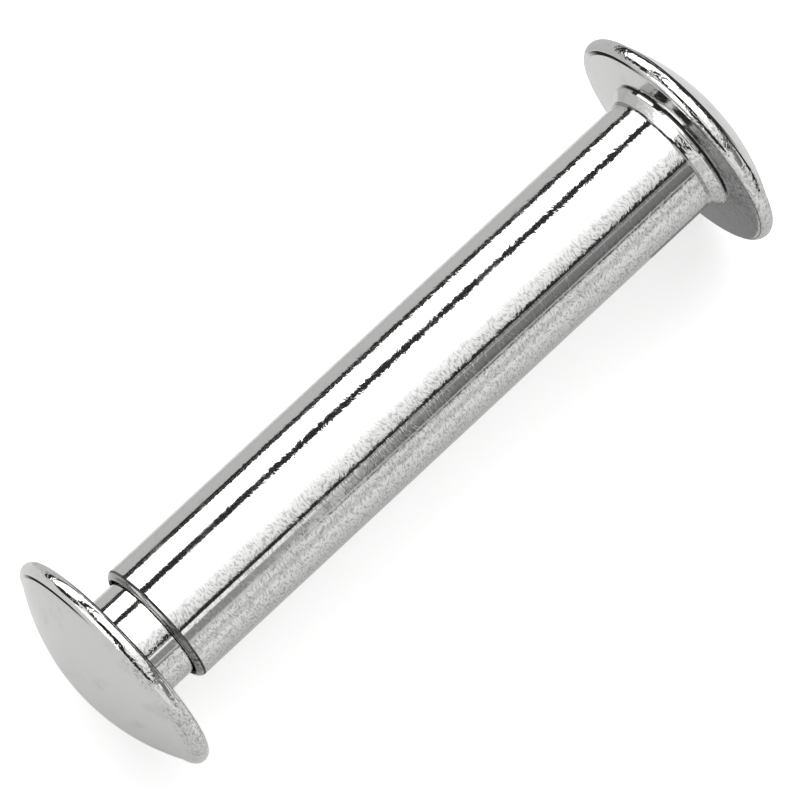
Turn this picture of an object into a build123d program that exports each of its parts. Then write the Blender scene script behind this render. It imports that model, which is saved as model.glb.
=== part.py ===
from build123d import *
import os

os.makedirs("parts", exist_ok=True)

# A two-piece binding fastener: a hollow barrel with a crowned head, and a post with the same head
# whose plain shank slides into the barrel's mouth.  It lies on the rims of both heads, along X,
# with the barrel's head at +X.  Every size is in millimetres.

# Heads, the same on both pieces
head_diameter = 9.5  # at the widest point of the rim
crown_height = 1.25  # rise of the domed crown above the rim
rim_thickness = 0.65  # from the crown's edge to the flat underside
rim_bulge = 0.29  # how far the rim swells past the crown's edge

# Barrel
barrel_diameter = 5.0
barrel_length = 26.0  # from the mouth to the underside of the head
barrel_wall = 0.32
collar_rise = 0.375  # how far the ring that backs the head stands above the barrel
collar_land = 0.175  # straight part of that ring, next to the head
collar_taper = 0.375  # cone from the straight part down to the barrel
collar_rounding = 0.06  # between the straight part and the cone
collar_foot = 0.2  # hollow radius between the cone and the barrel
mouth_rounding = 0.27  # outer edge of the mouth
mouth_chamfer = 0.04  # inner edge of the mouth
bore_depth = 20.0  # of the full diameter, before the drill's cone
drill_cone_height = 1.3

# Post
shank_clearance = 0.08  # radial, between the shank and the bore
shank_length = 5.15  # from the underside of the head to the tip of the nose
lead_length = 0.6  # taper from the shank down to the nose
lead_drop = 0.25  # radial, taken off by that taper
nose_length = 0.5
nose_rounding = 0.18

# Rest position
stand_out = 1.57  # shank left showing between the mouth and the post's head

# Worked out from the sizes above
head_radius = head_diameter / 2
edge_radius = head_radius - rim_bulge
head_height = crown_height + rim_thickness
barrel_radius = barrel_diameter / 2
collar_radius = barrel_radius + collar_rise
bore_radius = barrel_radius - barrel_wall
shank_radius = bore_radius - shank_clearance
nose_radius = shank_radius - lead_drop
overall_length = 2 * head_height + stand_out + barrel_length

# Each piece is turned about the shared axis, which lies one head radius above the floor.  A piece's
# half section is drawn from the underside of its own head: x runs along the shank and y is radius.
turning_axis = Axis((0, 0, head_radius), (1, 0, 0))
post_seat = head_height - overall_length / 2
barrel_seat = overall_length / 2 - head_height
post_section = Plane((post_seat, 0, head_radius), x_dir=(1, 0, 0), z_dir=(0, -1, 0))
barrel_section = Plane((barrel_seat, 0, head_radius), x_dir=(-1, 0, 0), z_dir=(0, 1, 0))


def draw_head_outline():
    """Draws a head from the top of its crown, over the swollen rim, to the edge of its underside."""
    TangentArc((-head_height, 0), (-rim_thickness, edge_radius), tangent=(0, 1))
    ThreePointArc(
        (-rim_thickness, edge_radius), (-rim_thickness / 2, head_radius), (0, edge_radius)
    )


# The barrel: head, collar and tube turned in one, then bored from the mouth
with BuildPart() as barrel:
    with BuildSketch(barrel_section):
        with BuildLine():
            draw_head_outline()
            Polyline(
                (0, edge_radius),
                (0, collar_radius),
                (collar_land, collar_radius),
                (collar_land + collar_taper, barrel_radius),
                (barrel_length, barrel_radius),
                (barrel_length, 0),
                (-head_height, 0),
            )
        make_face()
    revolve(axis=turning_axis)

    mouth_edge = barrel.edges().filter_by(GeomType.CIRCLE).sort_by(Axis.X)[0]
    fillet(mouth_edge, mouth_rounding)
    rings = barrel.edges().filter_by(GeomType.CIRCLE).sort_by(Axis.X)
    foot_edge = rings.filter_by(lambda ring: abs(ring.radius - barrel_radius) < 1e-6)[-1]
    fillet(foot_edge, collar_foot)
    rings = barrel.edges().filter_by(GeomType.CIRCLE).sort_by(Axis.X)
    land_edge = rings.filter_by(lambda ring: abs(ring.radius - collar_radius) < 1e-6)[0]
    fillet(land_edge, collar_rounding)

    bore_end = barrel_length - bore_depth
    with BuildSketch(barrel_section):
        with BuildLine():
            Polyline(
                (barrel_length, 0),
                (barrel_length, bore_radius + mouth_chamfer),
                (barrel_length - mouth_chamfer, bore_radius),
                (bore_end, bore_radius),
                (bore_end - drill_cone_height, 0),
                close=True,
            )
        make_face()
    revolve(axis=turning_axis, mode=Mode.SUBTRACT)

# The post: the same head on a short plain shank, tapered to a smaller rounded nose
with BuildPart() as post:
    nose_start = shank_length - nose_length
    with BuildSketch(post_section):
        with BuildLine():
            draw_head_outline()
            Polyline(
                (0, edge_radius),
                (0, shank_radius),
                (nose_start - lead_length, shank_radius),
                (nose_start, nose_radius),
                (shank_length, nose_radius),
                (shank_length, 0),
                (-head_height, 0),
            )
        make_face()
    revolve(axis=turning_axis)

    nose_edge = post.edges().filter_by(GeomType.CIRCLE).sort_by(Axis.X)[-1]
    fillet(nose_edge, nose_rounding)

barrel.part.label = "barrel"
post.part.label = "post"
export_step(barrel.part, "parts/barrel.step")
export_step(post.part, "parts/post.step")
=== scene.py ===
from math import atan2, cos, hypot, pi, radians, sin, tan

import bmesh
import bpy
from bpy.props import FloatProperty, FloatVectorProperty, PointerProperty
from bpy.types import Operator, Panel, PropertyGroup
from mathutils import Matrix, Vector


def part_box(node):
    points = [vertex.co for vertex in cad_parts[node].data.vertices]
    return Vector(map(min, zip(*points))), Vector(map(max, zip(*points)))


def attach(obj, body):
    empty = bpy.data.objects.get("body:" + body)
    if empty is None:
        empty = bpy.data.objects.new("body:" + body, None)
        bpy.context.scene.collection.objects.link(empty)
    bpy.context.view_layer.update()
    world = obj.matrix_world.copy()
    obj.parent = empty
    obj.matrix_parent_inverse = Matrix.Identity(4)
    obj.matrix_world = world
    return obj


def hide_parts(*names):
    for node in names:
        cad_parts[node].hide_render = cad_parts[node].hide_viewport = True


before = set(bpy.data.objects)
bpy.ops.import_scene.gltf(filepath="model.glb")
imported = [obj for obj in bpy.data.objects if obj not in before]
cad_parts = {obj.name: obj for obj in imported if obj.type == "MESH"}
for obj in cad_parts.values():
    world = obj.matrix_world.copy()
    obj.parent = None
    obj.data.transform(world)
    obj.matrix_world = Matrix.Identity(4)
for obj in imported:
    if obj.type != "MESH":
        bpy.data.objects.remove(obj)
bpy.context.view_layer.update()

bl_info = {
    "name": "Binding Barrel Screw",
    "version": (1, 0, 0),
    "blender": (4, 5, 0),
    "location": "3D View > Sidebar > Fastener",
    "description": "Builds a plated two-piece binding fastener and the studio it lies in",
    "category": "Object",
}

MM = 0.001
BARREL_LOW, BARREL_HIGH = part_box("barrel")
POST_LOW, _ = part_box("post")
HEAD_DIAMETER = min(BARREL_HIGH.y - BARREL_LOW.y, BARREL_HIGH.z - BARREL_LOW.z)
AXIS_HEIGHT = (BARREL_LOW.z + BARREL_HIGH.z) / 2
MIDDLE = Vector((0, 0, AXIS_HEIGHT))


def length(name, description, default_mm):
    """A size that a user may change, given here in millimetres and kept in metres."""
    return FloatProperty(
        name=name,
        description=description,
        default=default_mm * MM,
        min=0.0,
        precision=5,
        unit="LENGTH",
    )


def share(name, description, default):
    """A number without a unit."""
    return FloatProperty(name=name, description=description, default=default, min=0.0)


def colour(name, description, default):
    """A colour, as linear red, green and blue."""
    return FloatVectorProperty(
        name=name, description=description, default=default, subtype="COLOR", min=0.0, max=1.0
    )


class FastenerSizes(PropertyGroup):
    """Sizes of the two turned pieces."""

    crown_height: length("Crown height", "Rise of the domed crown above the rim", 1.25)
    rim_thickness: length("Rim thickness", "From the crown's edge to the underside", 0.65)
    rim_bulge: length("Rim bulge", "How far the rim swells past the crown's edge", 0.29)
    barrel_diameter: length("Barrel diameter", "Outside of the hollow barrel", 5.0)
    barrel_wall: length("Barrel wall", "Thickness of the barrel's wall", 0.32)
    mouth_rounding: length("Mouth rounding", "Radius of the mouth's outer edge", 0.27)
    mouth_chamfer: length("Mouth chamfer", "Bevel of the mouth's inner edge", 0.04)
    collar_rise: length("Collar rise", "How far the collar stands above the barrel", 0.375)
    collar_land: length("Collar land", "Straight part of the collar", 0.175)
    collar_taper: length("Collar taper", "Cone from the collar's land to the barrel", 0.375)
    collar_rounding: length("Collar rounding", "Radius between land and cone", 0.06)
    collar_foot: length("Collar foot", "Hollow radius between cone and barrel", 0.2)
    bore_depth: length("Bore depth", "Full-diameter depth of the bore", 20.0)
    drill_cone: length("Drill cone", "Height of the cone at the end of the bore", 1.3)
    shank_clearance: length("Shank clearance", "Gap between shank and bore", 0.08)
    shank_length: length("Shank length", "From the post's underside to its nose", 5.15)
    lead_length: length("Lead length", "Length of the shank's lead-in taper", 0.6)
    lead_drop: length("Lead drop", "How much radius the taper takes off", 0.25)
    nose_length: length("Nose length", "Length of the narrow nose", 0.5)
    nose_rounding: length("Nose rounding", "Radius of the nose's edge", 0.18)


class PlatingLook(PropertyGroup):
    """Finish of the bright plating."""

    bright: colour("Bright plating", "Colour of clean plating", (0.70, 0.70, 0.69))
    worn: colour("Worn plating", "Colour of the rubbed patches", (0.62, 0.62, 0.605))
    # Also the colour of the painted shade in the corners and creases and on the underside of the
    # barrel's head
    dull_and_shade: colour("Dull metal", "Colour of cut ends, scuffs and soil", (0.03, 0.03, 0.03))
    polish: share("Polish roughness", "Roughness of the clean plating", 0.07)
    haze: share("Haze roughness", "Extra roughness of the rubbed patches", 0.10)
    matt: share("Matt roughness", "Extra roughness of the dull metal", 0.25)
    grain_height: length("Grain height", "Height of the fine tumbling marks", 0.009)
    nick_depth: length("Nick depth", "Depth of the few deeper marks", 0.007)
    wave_height: length("Wave height", "Height of the broad waves of the drawn metal", 0.008)
    mottle: share("Mottle", "How much the scuffs darken the plating", 0.42)
    cut_width: length("Cut width", "How far the dull cut end reaches in from the mouth", 0.20)
    # Width of the painted shade in the corners and creases
    edge_width: length("Edge width", "Reach of the soil in the corners and creases", 0.1)
    draft: share("Underside draft", "Slope of the slightly coned underside of a head", 0.12)


class StudioLook(PropertyGroup):
    """Floor, light and camera."""

    floor_colour: colour("Floor colour", "Colour of the pale floor", (0.74, 0.74, 0.735))
    floor_size: length("Floor size", "Width of the floor", 2000.0)
    floor_lift: share("Floor lift", "Extra glow of the floor for the camera", 0.54)
    floor_mirrored: share("Mirrored lift", "Extra glow of the floor in the metal", 0.08)
    box_brightness: share("Box brightness", "Brightness of the soft boxes", 1.7)
    room_brightness: share("Room brightness", "Brightness of the room's walls", 0.40)


class Lathe:
    """A half section drawn from the crown's top, then turned about the fastener's axis.

    Distances along the axis start at the underside of the head and grow along the shank.
    """

    EDGE_LAND = 0.03 * MM
    LARGEST_LAND = 0.25  # as a share of the run
    RING_SPACING = 1.0 * MM
    TURN_STEPS = 224
    SHARP_ANGLE = radians(15)
    MERGE_DISTANCE = 0.0001 * MM

    def __init__(self, underside, direction, along, radius):
        self.underside = underside
        self.direction = direction
        self.mesh = bmesh.new()
        self.tip = self.mesh.verts.new(self.place(along, radius))
        self.along, self.radius = along, radius

    def place(self, along, radius):
        return Vector((self.underside + self.direction * along, 0, AXIS_HEIGHT + radius))

    def step(self, along, radius):
        made = bmesh.ops.extrude_vert_indiv(self.mesh, verts=[self.tip])
        self.tip = made["verts"][0]
        self.tip.co = self.place(along, radius)

    def line(self, along, radius):
        """A straight run with a ring close to each end, which keeps the shading of the run flat."""
        run = hypot(along - self.along, radius - self.radius)
        land = min(self.EDGE_LAND / run, self.LARGEST_LAND)
        inner = max(1, round(run / self.RING_SPACING))
        stops = [land + (1 - 2 * land) * ring / inner for ring in range(inner + 1)] + [1]
        start_along, start_radius = self.along, self.radius
        for stop in stops:
            self.step(
                start_along + (along - start_along) * stop,
                start_radius + (radius - start_radius) * stop,
            )
        self.along, self.radius = along, radius

    def arc(self, centre_along, centre_radius, along, radius, steps):
        """A round run about a centre, the short way to the new point."""
        start = atan2(self.radius - centre_radius, self.along - centre_along)
        end = atan2(radius - centre_radius, along - centre_along)
        sweep = (end - start + pi) % (2 * pi) - pi
        made = bmesh.ops.spin(
            self.mesh,
            geom=[self.tip],
            cent=self.place(centre_along, centre_radius),
            axis=(0, -self.direction, 0),
            angle=sweep,
            steps=steps,
        )
        self.tip = next(g for g in made["geom_last"] if isinstance(g, bmesh.types.BMVert))
        self.along, self.radius = along, radius

    def turn(self, name):
        """Turns the section full circle and returns the finished object."""
        bmesh.ops.spin(
            self.mesh,
            geom=self.mesh.verts[:] + self.mesh.edges[:],
            cent=MIDDLE,
            axis=(1, 0, 0),
            angle=2 * pi,
            steps=self.TURN_STEPS,
            use_merge=True,
        )
        bmesh.ops.remove_doubles(self.mesh, verts=self.mesh.verts, dist=self.MERGE_DISTANCE)
        bmesh.ops.recalc_face_normals(self.mesh, faces=self.mesh.faces)
        for face in self.mesh.faces:
            face.smooth = True
        for edge in self.mesh.edges:
            edge.smooth = edge.calc_face_angle(0) < self.SHARP_ANGLE
        data = bpy.data.meshes.new(name)
        self.mesh.to_mesh(data)
        self.mesh.free()
        piece = bpy.data.objects.new(name, data)
        bpy.context.collection.objects.link(piece)
        return piece


# Straight pieces that make up each round run of the section
CROWN_STEPS = 28
RIM_STEPS = 12
COLLAR_STEPS = 5
FOOT_STEPS = 8
MOUTH_STEPS = 10
NOSE_STEPS = 8


def start_head(sizes, underside, direction):
    """Starts a lathe with the head both pieces share: the crown, the crease and the swollen rim."""
    head_radius = HEAD_DIAMETER / 2
    edge_radius = head_radius - sizes.rim_bulge
    rise, rim = sizes.crown_height, sizes.rim_thickness
    crown_radius = (edge_radius**2 + rise**2) / (2 * rise)
    rim_radius = ((rim / 2) ** 2 + sizes.rim_bulge**2) / (2 * sizes.rim_bulge)
    lathe = Lathe(underside, direction, -rim - rise, 0)
    lathe.arc(-rim - rise + crown_radius, 0, -rim, edge_radius, CROWN_STEPS)
    rim_middle = head_radius - rim_radius
    lathe.arc(-rim / 2, rim_middle, -rim / 2, head_radius, RIM_STEPS)
    lathe.arc(-rim / 2, rim_middle, 0, edge_radius, RIM_STEPS)
    return lathe


def dress(piece, node, material):
    """Puts the plating on a turned piece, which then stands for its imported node."""
    piece.data.materials.append(material)
    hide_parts(node)
    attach(piece, node)


class Value:
    """A number in a node tree. Arithmetic on it adds Math nodes."""

    def __init__(self, maker, socket):
        self.maker = maker
        self.socket = socket

    def math(self, operation, *others):
        node = self.maker.node("ShaderNodeMath", {"operation": operation}, [self, *others])
        return Value(self.maker, node.outputs[0])

    def reflected(self, operation, other):
        node = self.maker.node("ShaderNodeMath", {"operation": operation}, [other, self])
        return Value(self.maker, node.outputs[0])

    def __add__(self, other):
        return self.math("ADD", other)

    __radd__ = __add__

    def __sub__(self, other):
        return self.math("SUBTRACT", other)

    def __rsub__(self, other):
        return self.reflected("SUBTRACT", other)

    def __mul__(self, other):
        return self.math("MULTIPLY", other)

    __rmul__ = __mul__

    def clamp(self):
        return self.math("MINIMUM", 1).math("MAXIMUM", 0)

    def root(self):
        return self.math("SQRT")

    def distance(self, other):
        return (self - other).math("ABSOLUTE")


class Nodes:
    """Makes the nodes of one tree."""

    def __init__(self, owner):
        owner.use_nodes = True
        self.tree = owner.node_tree
        self.tree.nodes.clear()

    def node(self, kind, settings=None, inputs=None):
        """Adds a node: its settings first, then the values or links of its sockets."""
        node = self.tree.nodes.new(kind)
        for name, value in (settings or {}).items():
            if name == "stops":
                self.set_stops(node.color_ramp, value)
            else:
                setattr(node, name, value)
        pairs = inputs.items() if isinstance(inputs, dict) else enumerate(inputs or [])
        for key, value in pairs:
            self.feed(node.inputs[key], value)
        return node

    def feed(self, socket, value):
        if isinstance(value, Value):
            value = value.socket
        if isinstance(value, bpy.types.NodeSocket):
            self.tree.links.new(value, socket)
        elif hasattr(value, "__len__") and socket.type == "RGBA":
            socket.default_value = (*value[:3], 1)
        else:
            socket.default_value = value

    @staticmethod
    def set_stops(ramp, stops):
        ramp.elements.remove(ramp.elements[1])
        for index, (position, shade) in enumerate(stops):
            stop = ramp.elements.new(position) if index else ramp.elements[0]
            stop.position = position
            stop.color = (shade, shade, shade, 1)

    def value(self, node, output=0):
        return Value(self, node.outputs[output])

    def noise(self, vector, scale, detail=2.0, roughness=0.5):
        node = self.node(
            "ShaderNodeTexNoise",
            {"noise_dimensions": "3D"},
            {
                "Vector": vector,
                "Scale": scale,
                "Detail": detail,
                "Roughness": roughness,
            },
        )
        return self.value(node, "Fac")

    def mix(self, factor, first, second):
        node = self.node(
            "ShaderNodeMix", {"data_type": "RGBA"}, {"Factor": factor, "A": first, "B": second}
        )
        return node.outputs["Result"]

    def spread(self, value, low, high):
        """Runs from 0 at low to 1 at high, with soft ends."""
        node = self.node(
            "ShaderNodeMapRange",
            {"interpolation_type": "SMOOTHSTEP"},
            {"Value": value, "From Min": low, "From Max": high},
        )
        return self.value(node, "Result")


class FASTENER_OT_barrel(Operator):
    """Turn the hollow barrel with its collar, crowned head and blind bore"""

    bl_idname = "fastener.barrel"
    bl_label = "Turn Barrel"
    bl_options = {"REGISTER", "UNDO"}

    def execute(self, context):
        sizes = context.scene.fastener_sizes
        head_height = sizes.crown_height + sizes.rim_thickness
        underside = BARREL_HIGH.x - head_height
        mouth = underside - BARREL_LOW.x
        radius = sizes.barrel_diameter / 2
        collar, bore = radius + sizes.collar_rise, radius - sizes.barrel_wall
        rounding, collar_rounding = sizes.mouth_rounding, sizes.collar_rounding
        chamfer, bore_end = sizes.mouth_chamfer, mouth - sizes.bore_depth

        lathe = start_head(sizes, underside, -1)
        slope = atan2(sizes.collar_rise, sizes.collar_taper)
        trim = collar_rounding * tan(slope / 2)
        lathe.line(0, collar)
        lathe.line(sizes.collar_land - trim, collar)
        lathe.arc(
            sizes.collar_land - trim,
            collar - collar_rounding,
            sizes.collar_land + trim * cos(slope),
            collar - trim * sin(slope),
            COLLAR_STEPS,
        )
        foot, cone_end = sizes.collar_foot, sizes.collar_land + sizes.collar_taper
        trim = foot * tan(slope / 2)
        lathe.line(cone_end - trim * cos(slope), radius + trim * sin(slope))
        lathe.arc(cone_end + trim, radius + foot, cone_end + trim, radius, FOOT_STEPS)
        lathe.line(mouth - rounding, radius)
        lathe.arc(mouth - rounding, radius - rounding, mouth, radius - rounding, MOUTH_STEPS)
        lathe.line(mouth, bore + chamfer)
        lathe.line(mouth - chamfer, bore)
        lathe.line(bore_end, bore)
        lathe.line(bore_end - sizes.drill_cone, 0)
        dress(lathe.turn("barrel-body"), "barrel", bpy.data.materials["barrel plating"])
        return {"FINISHED"}


class FASTENER_OT_post(Operator):
    """Turn the post: the same head on a short plain shank with a tapered nose"""

    bl_idname = "fastener.post"
    bl_label = "Turn Post"
    bl_options = {"REGISTER", "UNDO"}

    def execute(self, context):
        sizes = context.scene.fastener_sizes
        underside = POST_LOW.x + sizes.crown_height + sizes.rim_thickness
        shank = sizes.barrel_diameter / 2 - sizes.barrel_wall - sizes.shank_clearance
        nose, rounding = shank - sizes.lead_drop, sizes.nose_rounding
        tip = sizes.shank_length
        nose_start = tip - sizes.nose_length

        lathe = start_head(sizes, underside, 1)
        lathe.line(0, shank)
        lathe.line(nose_start - sizes.lead_length, shank)
        lathe.line(nose_start, nose)
        lathe.line(tip - rounding, nose)
        lathe.arc(tip - rounding, nose - rounding, tip, nose - rounding, NOSE_STEPS)
        lathe.line(tip, 0)
        dress(lathe.turn("post-body"), "post", bpy.data.materials["post plating"])
        return {"FINISHED"}


class FASTENER_OT_plating(Operator):
    """Mix the bright plating of the barrel and of the post"""

    bl_idname = "fastener.plating"
    bl_label = "Mix Plating"
    bl_options = {"REGISTER", "UNDO"}

    # Cells of each noise in a millimetre, and the levels between which it starts and fully shows
    LEAN_CELLS = 1.3 / MM
    GRAIN_CELLS = 3.2 / MM
    NICK_CELLS = 3.0 / MM
    NICK_LEVELS = (0.52, 0.64)
    SCUFF_CELLS = 6.0 / MM
    SCUFF_LEVELS = (0.46, 0.64)
    WAVE_CELLS = 0.55 / MM
    PATCH_CELLS = 0.9 / MM
    PATCH_LEVELS = (0.52, 0.75)
    MARK_LEAN = 0.55 * MM  # how far a mark leans along the axis
    MARK_SQUEEZE = 2.4  # how much narrower a mark is along the axis

    # Distances over which the finish changes
    CROWN_FADE = 0.2 * MM
    RIM_FADE = 0.15 * MM
    FACE_FADE = (0.04 * MM, 0.02 * MM)
    LINE_FADE = (0.05 * MM, 0.03 * MM)
    SMOOTH_END = 5 * MM  # the barrel's end next to the mouth has few marks
    SMOOTH_FADE = 1.5 * MM
    RING_CORE = 0.8  # share of a shade ring's width that is evenly shaded

    # Turns about the axis, in degrees from straight up towards +Y, over which the finish changes
    STRIP_START = (-30.5, -32.5)
    STRIP_END = (-43, -46)
    SCUFF_START = (-9, -22)
    SCUFF_MIDDLE = (-32, -46)
    SCUFF_END = (-60, -150)
    # Turns between which painted shade lies on the underside of the barrel's head
    UNDERSIDE_SHADE_START = (-85, -65)
    UNDERSIDE_SHADE_END = (-18, -4)
    RING_FADE = 10
    ALL_ROUND = (-190, 190)

    # Shares: how much less or more a mark shows at a place
    SCUFFS_LEFT = 0.1
    SCUFFS_OFF_STRIP = 0.8
    SCUFFS_OFF_MIDDLE = 0.1
    MARKS_ADDED_ON_RIM = 0.3
    MARKS_OFF_CROWN = 0.8
    MARKS_OFF_STRIP = 0.92
    POST_MARKS = (0.4, 1.2)  # everywhere, then added on the scuffed side
    BARREL_MARKS = (0.3, 0.7)  # everywhere, then added away from the mouth
    NICKS = (0.1, 0.55)  # everywhere, then added on the rims
    CUT_DULLNESS = 0.48
    CUT_LINE = 0.8
    # Strength of the painted shade on the underside of the barrel's head
    UNDERSIDE_SHADE = 0.5

    def execute(self, context):
        look, sizes = context.scene.fastener_plating, context.scene.fastener_sizes
        head_height = sizes.crown_height + sizes.rim_thickness
        head_edge = HEAD_DIAMETER / 2 - sizes.rim_bulge
        barrel = sizes.barrel_diameter / 2
        bore = barrel - sizes.barrel_wall
        shank = bore - sizes.shank_clearance
        rim, width = sizes.rim_thickness, look.edge_width

        # Rings of painted shade in the corners and creases: place along the axis, radius, width,
        # strength, and the turns they lie between
        underside, crease = BARREL_HIGH.x - head_height, BARREL_HIGH.x - sizes.crown_height
        foot = underside - sizes.collar_land - sizes.collar_taper
        shade_rings = [
            (crease, head_edge, width * 2, 1.0, (-30, 36)),
            (underside, head_edge, width, 1.0, (25, 70)),
            (underside, barrel + sizes.collar_rise, width * 0.9, 0.9, (-75, 60)),
            (foot, barrel, width * 0.9, 0.5, (-75, 75)),
            (BARREL_LOW.x, bore, width * 0.9, 0.9, self.ALL_ROUND),
        ]
        self.make_plating("barrel plating", look, rim, underside, 1, shade_rings, BARREL_LOW.x)

        underside, crease = POST_LOW.x + head_height, POST_LOW.x + sizes.crown_height
        # Rings of painted shade in the post's crease and corners
        shade_rings = [
            (crease, head_edge, width * 0.7, 1.0, (14, 66)),
            (underside, head_edge, width * 2.1, 1.0, (-28, 30)),
            (underside, shank, width, 0.9, self.ALL_ROUND),
        ]
        self.make_plating("post plating", look, rim, underside, -1, shade_rings)
        return {"FINISHED"}

    def make_plating(self, name, look, rim_thickness, underside, direction, shade_rings, mouth=None):
        """Bright plating: mirror-like over tumbling marks, with painted shade in corners and
        creases.

        The underside and the mouth are places along the axis, and the head lies beyond its
        underside in the given direction. Only the barrel has a mouth, with a dull cut end. It also
        has painted shade on one side of the underside of its head.
        """
        material = bpy.data.materials.new(name)
        nodes = Nodes(material)
        place = nodes.node("ShaderNodeTexCoord")
        centred = nodes.node(
            "ShaderNodeMapping",
            {"vector_type": "POINT"},
            {"Vector": place.outputs["Object"], "Location": (0, 0, -AXIS_HEIGHT)},
        ).outputs[0]
        split = nodes.node("ShaderNodeSeparateXYZ", inputs=[centred])
        along, across, upright = (nodes.value(split, axis) for axis in "XYZ")
        radius = (across * across + upright * upright).root()
        turn = across.math("ARCTAN2", upright).math("DEGREES")

        # Parts of the surface
        outward = (along - underside) * direction
        crown = nodes.spread(outward, rim_thickness, rim_thickness + self.CROWN_FADE)
        rim_radius = max(ring[1] for ring in shade_rings)
        on_rim = nodes.spread(radius, rim_radius - self.RIM_FADE, rim_radius) * (1 - crown)
        flat = nodes.spread(along.distance(underside), *self.FACE_FADE)
        smooth_strip = nodes.spread(turn, *self.STRIP_START) - nodes.spread(turn, *self.STRIP_END)
        scuffed_side = (
            nodes.spread(turn, *self.SCUFF_START)
            * (1 - smooth_strip * self.SCUFFS_OFF_STRIP)
            * (1 - nodes.spread(turn, *self.SCUFF_MIDDLE) * self.SCUFFS_OFF_MIDDLE)
            * (1 - nodes.spread(turn, *self.SCUFF_END))
            + self.SCUFFS_LEFT
        )

        # Tumbling leaves short marks that lean this way and that, most of all on the rims
        leaning = along + nodes.noise(centred, self.LEAN_CELLS, detail=1.0) * self.MARK_LEAN
        marks = nodes.node(
            "ShaderNodeCombineXYZ", inputs=[leaning * self.MARK_SQUEEZE, across, upright]
        ).outputs[0]
        grain = nodes.noise(marks, self.GRAIN_CELLS)
        nicks = nodes.spread(nodes.noise(marks, self.NICK_CELLS), *self.NICK_LEVELS)
        specks = nodes.noise(marks, self.SCUFF_CELLS, roughness=0.6)
        scuffs = nodes.spread(specks, *self.SCUFF_LEVELS)
        strength = (
            (on_rim * self.MARKS_ADDED_ON_RIM + 1)
            * (1 - crown * self.MARKS_OFF_CROWN)
            * (1 - smooth_strip * self.MARKS_OFF_STRIP)
        )
        if mouth is None:
            everywhere, added = self.POST_MARKS
            strength = strength * (scuffed_side * added + everywhere)
        else:
            everywhere, added = self.BARREL_MARKS
            smooth_end = mouth + self.SMOOTH_END
            marked = nodes.spread(along, smooth_end, smooth_end + self.SMOOTH_FADE)
            strength = strength * (marked * added + everywhere)

        # Relief: grain, nicks and broad waves, over an underside that is very slightly coned
        everywhere, added = self.NICKS
        height = (
            grain * strength * look.grain_height
            - nicks * (on_rim * added + everywhere) * look.nick_depth
            + nodes.noise(centred, self.WAVE_CELLS, detail=1.0) * look.wave_height
            - radius * flat * look.draft
        )
        bump = nodes.node(
            "ShaderNodeBump", inputs={"Strength": 1.0, "Distance": 1.0, "Height": height}
        )

        # Wear, and painted shade in the corners and creases
        patches = nodes.noise(centred, self.PATCH_CELLS, detail=4.0, roughness=0.65)
        rubbed = nodes.spread(patches, *self.PATCH_LEVELS)
        dark = scuffs * scuffed_side * (1 - crown) * look.mottle
        roughness = rubbed * look.haze + look.polish
        dark_lines = sum(self.shade_ring(nodes, along, radius, turn, ring) for ring in shade_rings)
        if mouth is not None:
            from_mouth, cut = along.distance(mouth), look.cut_width
            cut_end = nodes.spread(from_mouth, *(cut + fade for fade in self.FACE_FADE))
            # Painted shade on one side of the underside of the barrel's head, added to the dull cut
            # end
            underside_shade = nodes.spread(turn, *self.UNDERSIDE_SHADE_START) - nodes.spread(turn, *self.UNDERSIDE_SHADE_END)
            dull_and_shade = cut_end * self.CUT_DULLNESS + flat * underside_shade * self.UNDERSIDE_SHADE
            dark = dark + dull_and_shade
            roughness = roughness + dull_and_shade.clamp() * look.matt
            dark_lines = dark_lines + nodes.spread(from_mouth.distance(cut), *self.LINE_FADE) * self.CUT_LINE

        plating = nodes.mix(rubbed, look.bright, look.worn)
        metal = nodes.node(
            "ShaderNodeBsdfPrincipled",
            inputs={
                "Base Color": nodes.mix(dark.clamp(), plating, look.dull_and_shade),
                "Metallic": 1.0,
                "Roughness": roughness,
                "Normal": bump.outputs[0],
            },
        )
        # The painted shade of the rings is this dull black surface, mixed in
        black = nodes.node("ShaderNodeBsdfDiffuse", inputs={"Color": look.dull_and_shade})
        both = nodes.node(
            "ShaderNodeMixShader", inputs=[dark_lines.clamp(), metal.outputs[0], black.outputs[0]]
        )
        nodes.node("ShaderNodeOutputMaterial", inputs=[both.outputs[0]])

    def shade_ring(self, nodes, along, radius, turn, ring):
        """How much painted shade one ring puts on a place."""
        ring_along, ring_radius, width, strength, (start, end) = ring
        out, up = along - ring_along, radius - ring_radius
        away = (out * out + up * up).root()
        fade = self.RING_FADE
        started = nodes.spread(turn, start - fade, start + fade)
        ended = nodes.spread(turn, end - fade, end + fade)
        return nodes.spread(away, width, width * self.RING_CORE) * (started - ended) * strength


def hang(turns, tilts, distance):
    """Place and size of a flat panel that hangs parallel to the fastener's axis and faces it.

    Its long edges lie at two turns about the axis, from straight up towards +Y, and its ends at
    two tilts towards +X. Angles are in degrees.
    """
    middle, half = radians(sum(turns) / 2), radians(turns[1] - turns[0]) / 2
    start, end = (distance * tan(radians(tilt)) for tilt in tilts)
    along, facing = Vector((1, 0, 0)), Vector((0, sin(middle), cos(middle)))
    place = Matrix((along, facing.cross(along), facing)).transposed().to_4x4()
    place.translation = MIDDLE + facing * distance + along * (start + end) / 2
    return place, end - start, 2 * distance * tan(half)


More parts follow.
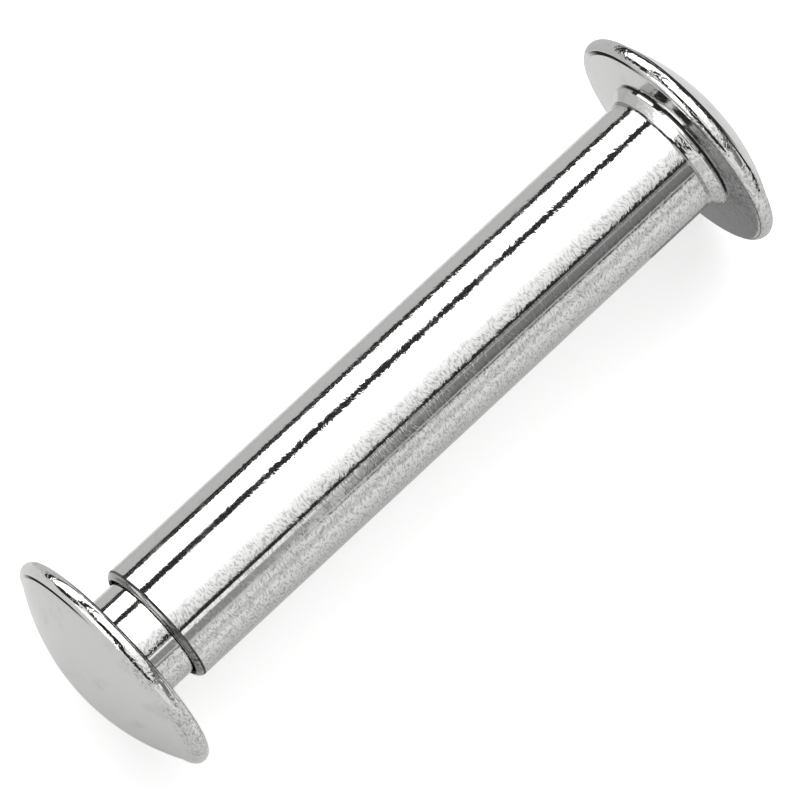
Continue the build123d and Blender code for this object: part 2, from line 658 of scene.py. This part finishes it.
class FASTENER_OT_studio(Operator):
    """Set the pale floor, the soft boxes, the screens and the camera"""

    bl_idname = "fastener.studio"
    bl_label = "Set Studio"
    bl_options = {"REGISTER", "UNDO"}

    BOX_DISTANCE = 0.8
    SCREEN_DISTANCE = 0.6
    CLOTH_HEIGHT = 0.1 * MM
    CLOTH_STEP = 0.02 * MM  # each cloth lies a little above the one before it

    # Camera
    AZIMUTH = radians(-44.084)
    ELEVATION = radians(73.34)
    CAMERA_DISTANCE = 258.49 * MM
    AIM_RIGHT = 0.0355 * MM
    AIM_DOWN = 0.055 * MM
    SENSOR_WIDTH = 36
    FOCAL_LENGTH = 323.44
    CLIPPING = (0.02, 10)

    # Panels, in degrees: turns about the fastener's axis, then tilts along it
    FAR = 70
    CLOSE = (FAR, 88.5)
    FRONT = (-90, -12)
    BOXES = {
        "ceiling box": ((-12, 38), (-8, FAR)),
        "back box": ((50.6, 85), (-13, FAR)),
        "left box": ((6, 72), (-82, -45)),
    }
    BLACK_SCREENS = {
        "ceiling seam": ((38, 50.6), (-14, FAR)),
        "far seam": ((85, 90.3), (-14, FAR)),
        "ceiling end": ((-10, 28), (-45, -8)),
        "ceiling step": ((28, 38), (-30, 0)),
        "back end": ((51.5, 88), (-45, -13)),
        "left dark": ((-60, 6), (-75, -38)),
        "ceiling close": ((-12, 50.6), CLOSE),
        "back close": ((50.6, 90.3), CLOSE),
        "front close": (FRONT, CLOSE),
    }
    # The shaded screens end in a list of shades over the turn, as shares of the boxes' brightness.
    # The shades of the upper part are the same on all of them.
    BLACK = 0.018
    UPPER = [
        (-50.2, BLACK), (-43.6, BLACK), (-42, 0.52), (-35, 0.66), (-26, 0.72), (-20, 0.80),
        (-12, 0.97),
    ]
    SHADED_SCREENS = {
        "front screen": (
            FRONT,
            (10.8, FAR),
            [
                (-84, 0.56), (-77, 0.47), (-73, 0.34), (-71, 0.07), (-66, 0.13), (-56, 0.15),
                (-54, 0.30), (-52, 0.26), *UPPER,
            ],
        ),
        "front gap": (FRONT, (9.6, 10.8), [(-84, 0.56), (-52, 0.42), *UPPER]),
        "front start": (
            FRONT,
            (-12, 9.6),
            [
                (-84, 0.56), (-73, 0.42), (-71, 0.19), (-58, 0.19), (-56, 0.75), (-52, 0.75),
                *UPPER,
            ],
        ),
    }
    # Cloths on the floor, in millimetres: along X, along Y, then shades from -Y to +Y
    CLOTHS = {
        # The first cloth and the head shade are painted shadow: they stand in for the shadows of the
        # barrel and of its head on the floor, which only the metal sees
        "painted barrel shadow": ((-12, 18), (-28, 0), [(-28, 0.59), (-18, 0.57), (-10, 0.48), (-4, 0.33)]),
        "far cloth": ((-12, 40), (7, 50), [(7, 0.34), (12, 0.38)]),
        "head shade": ((11.4, 14.5), (-4.1, 1.5), [(-4, 0.16)]),
        "end cloth": ((27, 800), (-60, 60), [(0, BLACK)]),
        "black cloth": ((-40, 800), (50, 600), [(50, BLACK)]),
    }

    def execute(self, context):
        look = context.scene.fastener_studio
        self.make_floor(look)
        self.make_room(look)
        for name, (turns, tilts) in self.BOXES.items():
            self.make_box(name, turns, tilts, look.box_brightness)
        for name, (turns, tilts) in self.BLACK_SCREENS.items():
            shades = [(sum(turns) / 2, self.BLACK)]
            self.hang_screen(name, turns, tilts, shades, look.box_brightness)
        for name, (turns, tilts, shades) in self.SHADED_SCREENS.items():
            self.hang_screen(name, turns, tilts, shades, look.box_brightness)
        for layer, (name, (along, across, shades)) in enumerate(self.CLOTHS.items()):
            height = self.CLOTH_HEIGHT + self.CLOTH_STEP * layer
            self.lay_cloth(name, along, across, height, shades, look.box_brightness)
        self.make_camera(context.scene)
        context.scene.view_settings.view_transform = "Standard"
        return {"FINISHED"}

    def make_floor(self, look):
        mesh = bmesh.new()
        bmesh.ops.create_grid(mesh, x_segments=1, y_segments=1, size=look.floor_size / 2)
        data = bpy.data.meshes.new("floor")
        mesh.to_mesh(data)
        mesh.free()
        floor = bpy.data.objects.new("floor", data)
        bpy.context.collection.objects.link(floor)
        material = bpy.data.materials.new("pale floor")
        nodes = Nodes(material)
        light_path = nodes.node("ShaderNodeLightPath")
        diffuse = nodes.node("ShaderNodeBsdfDiffuse", inputs={"Color": look.floor_colour})
        seen = nodes.value(light_path, "Is Camera Ray") + nodes.value(
            light_path, "Is Transmission Ray"
        )
        mirrored = nodes.value(light_path, "Is Glossy Ray")
        lift = seen * look.floor_lift + mirrored * look.floor_mirrored
        glow = nodes.node("ShaderNodeEmission", inputs={"Strength": lift})
        both = nodes.node("ShaderNodeAddShader", inputs=[diffuse.outputs[0], glow.outputs[0]])
        nodes.node("ShaderNodeOutputMaterial", inputs=[both.outputs[0]])
        data.materials.append(material)

    def make_room(self, look):
        world = bpy.data.worlds.new("studio room")
        nodes = Nodes(world)
        light_path = nodes.node("ShaderNodeLightPath")
        plain = sum(
            (nodes.value(light_path, ray) for ray in ("Is Glossy Ray", "Is Transmission Ray")),
            nodes.value(light_path, "Is Camera Ray"),
        ).clamp()
        strength = plain * (1 - look.room_brightness) + look.room_brightness
        air = nodes.node("ShaderNodeBackground", inputs={"Color": (1, 1, 1), "Strength": strength})
        nodes.node("ShaderNodeOutputWorld", inputs=[air.outputs[0]])
        bpy.context.scene.world = world

    def make_box(self, name, turns, tilts, brightness):
        lamp = bpy.data.lights.new(name, "AREA")
        lamp.shape = "RECTANGLE"
        place, lamp.size, lamp.size_y = hang(turns, tilts, self.BOX_DISTANCE)
        lamp.energy = brightness * pi * lamp.size * lamp.size_y
        box = bpy.data.objects.new(name, lamp)
        bpy.context.collection.objects.link(box)
        box.matrix_world = place
        box.visible_camera = False

    def hang_screen(self, name, turns, tilts, shades, brightness):
        """Hangs a screen that faces the fastener, with shades that are given over the turn."""
        middle, half = sum(turns) / 2, tan(radians(turns[1] - turns[0]) / 2)
        stops = [(0.5 + tan(radians(turn - middle)) / half / 2, tone) for turn, tone in shades]
        self.make_screen(name, hang(turns, tilts, self.SCREEN_DISTANCE), stops, brightness)

    def lay_cloth(self, name, along, across, height, shades, brightness):
        """Lays a cloth just above the floor, with shades that are given over Y."""
        width, depth = along[1] - along[0], across[1] - across[0]
        place = Matrix.Translation((sum(along) / 2 * MM, sum(across) / 2 * MM, height))
        stops = [((y - across[0]) / depth, tone) for y, tone in shades]
        cloth = self.make_screen(name, (place, width * MM, depth * MM), stops, brightness)
        cloth.visible_shadow = False

    def make_screen(self, name, placing, stops, brightness):
        """A flat screen that only the bright metal sees, shaded across its width."""
        place, span_along, span_across = placing
        mesh = bmesh.new()
        mesh.loops.layers.uv.new("across")
        size = Matrix.Diagonal((span_along, span_across, 1, 1))
        bmesh.ops.create_grid(
            mesh, x_segments=1, y_segments=1, size=0.5, matrix=place @ size, calc_uvs=True
        )
        data = bpy.data.meshes.new(name)
        mesh.to_mesh(data)
        mesh.free()
        screen = bpy.data.objects.new(name, data)
        bpy.context.collection.objects.link(screen)
        material = bpy.data.materials.new(name)
        nodes = Nodes(material)
        flat_place = nodes.node("ShaderNodeTexCoord")
        split = nodes.node("ShaderNodeSeparateXYZ", inputs=[flat_place.outputs["UV"]])
        ramp = nodes.node("ShaderNodeValToRGB", {"stops": stops}, [split.outputs["Y"]])
        strength = nodes.value(ramp) * brightness
        glow = nodes.node("ShaderNodeEmission", inputs={"Strength": strength})
        nodes.node("ShaderNodeOutputMaterial", inputs=[glow.outputs[0]])
        data.materials.append(material)
        for ray in ("camera", "diffuse", "transmission"):
            setattr(screen, "visible_" + ray, False)
        return screen

    def make_camera(self, scene):
        azimuth, elevation = self.AZIMUTH, self.ELEVATION
        right = Vector((cos(azimuth), sin(azimuth), 0))
        back = Vector(
            (sin(azimuth) * cos(elevation), -cos(azimuth) * cos(elevation), sin(elevation))
        )
        up = back.cross(right)
        aim = MIDDLE + right * self.AIM_RIGHT - up * self.AIM_DOWN
        lens = bpy.data.cameras.new("camera")
        lens.sensor_width = self.SENSOR_WIDTH
        lens.lens = self.FOCAL_LENGTH
        lens.clip_start, lens.clip_end = self.CLIPPING
        camera = bpy.data.objects.new("camera", lens)
        bpy.context.collection.objects.link(camera)
        camera.matrix_world = Matrix((right, up, back)).transposed().to_4x4()
        camera.location = aim + back * self.CAMERA_DISTANCE
        scene.camera = camera


class FASTENER_PT_sidebar(Panel):
    """Sizes, finish and studio of the fastener"""

    bl_label = "Binding Fastener"
    bl_idname = "FASTENER_PT_sidebar"
    bl_space_type = "VIEW_3D"
    bl_region_type = "UI"
    bl_category = "Fastener"

    def draw(self, context):
        layout = self.layout
        for group in ("fastener_sizes", "fastener_plating", "fastener_studio"):
            settings = getattr(context.scene, group)
            box = layout.box()
            for name in settings.__annotations__:
                box.prop(settings, name)
        for operator in STEPS:
            layout.operator(operator.bl_idname)


STEPS = (FASTENER_OT_plating, FASTENER_OT_barrel, FASTENER_OT_post, FASTENER_OT_studio)
CLASSES = (FastenerSizes, PlatingLook, StudioLook, *STEPS, FASTENER_PT_sidebar)
SETTINGS = {
    "fastener_sizes": FastenerSizes,
    "fastener_plating": PlatingLook,
    "fastener_studio": StudioLook,
}


def register():
    for item in CLASSES:
        bpy.utils.register_class(item)
    for name, group in SETTINGS.items():
        setattr(bpy.types.Scene, name, PointerProperty(type=group))


def unregister():
    for name in SETTINGS:
        delattr(bpy.types.Scene, name)
    for item in reversed(CLASSES):
        bpy.utils.unregister_class(item)


def main():
    register()
    bpy.ops.fastener.plating()
    bpy.ops.fastener.barrel()
    bpy.ops.fastener.post()
    bpy.ops.fastener.studio()


if __name__ == "__main__":
    main()
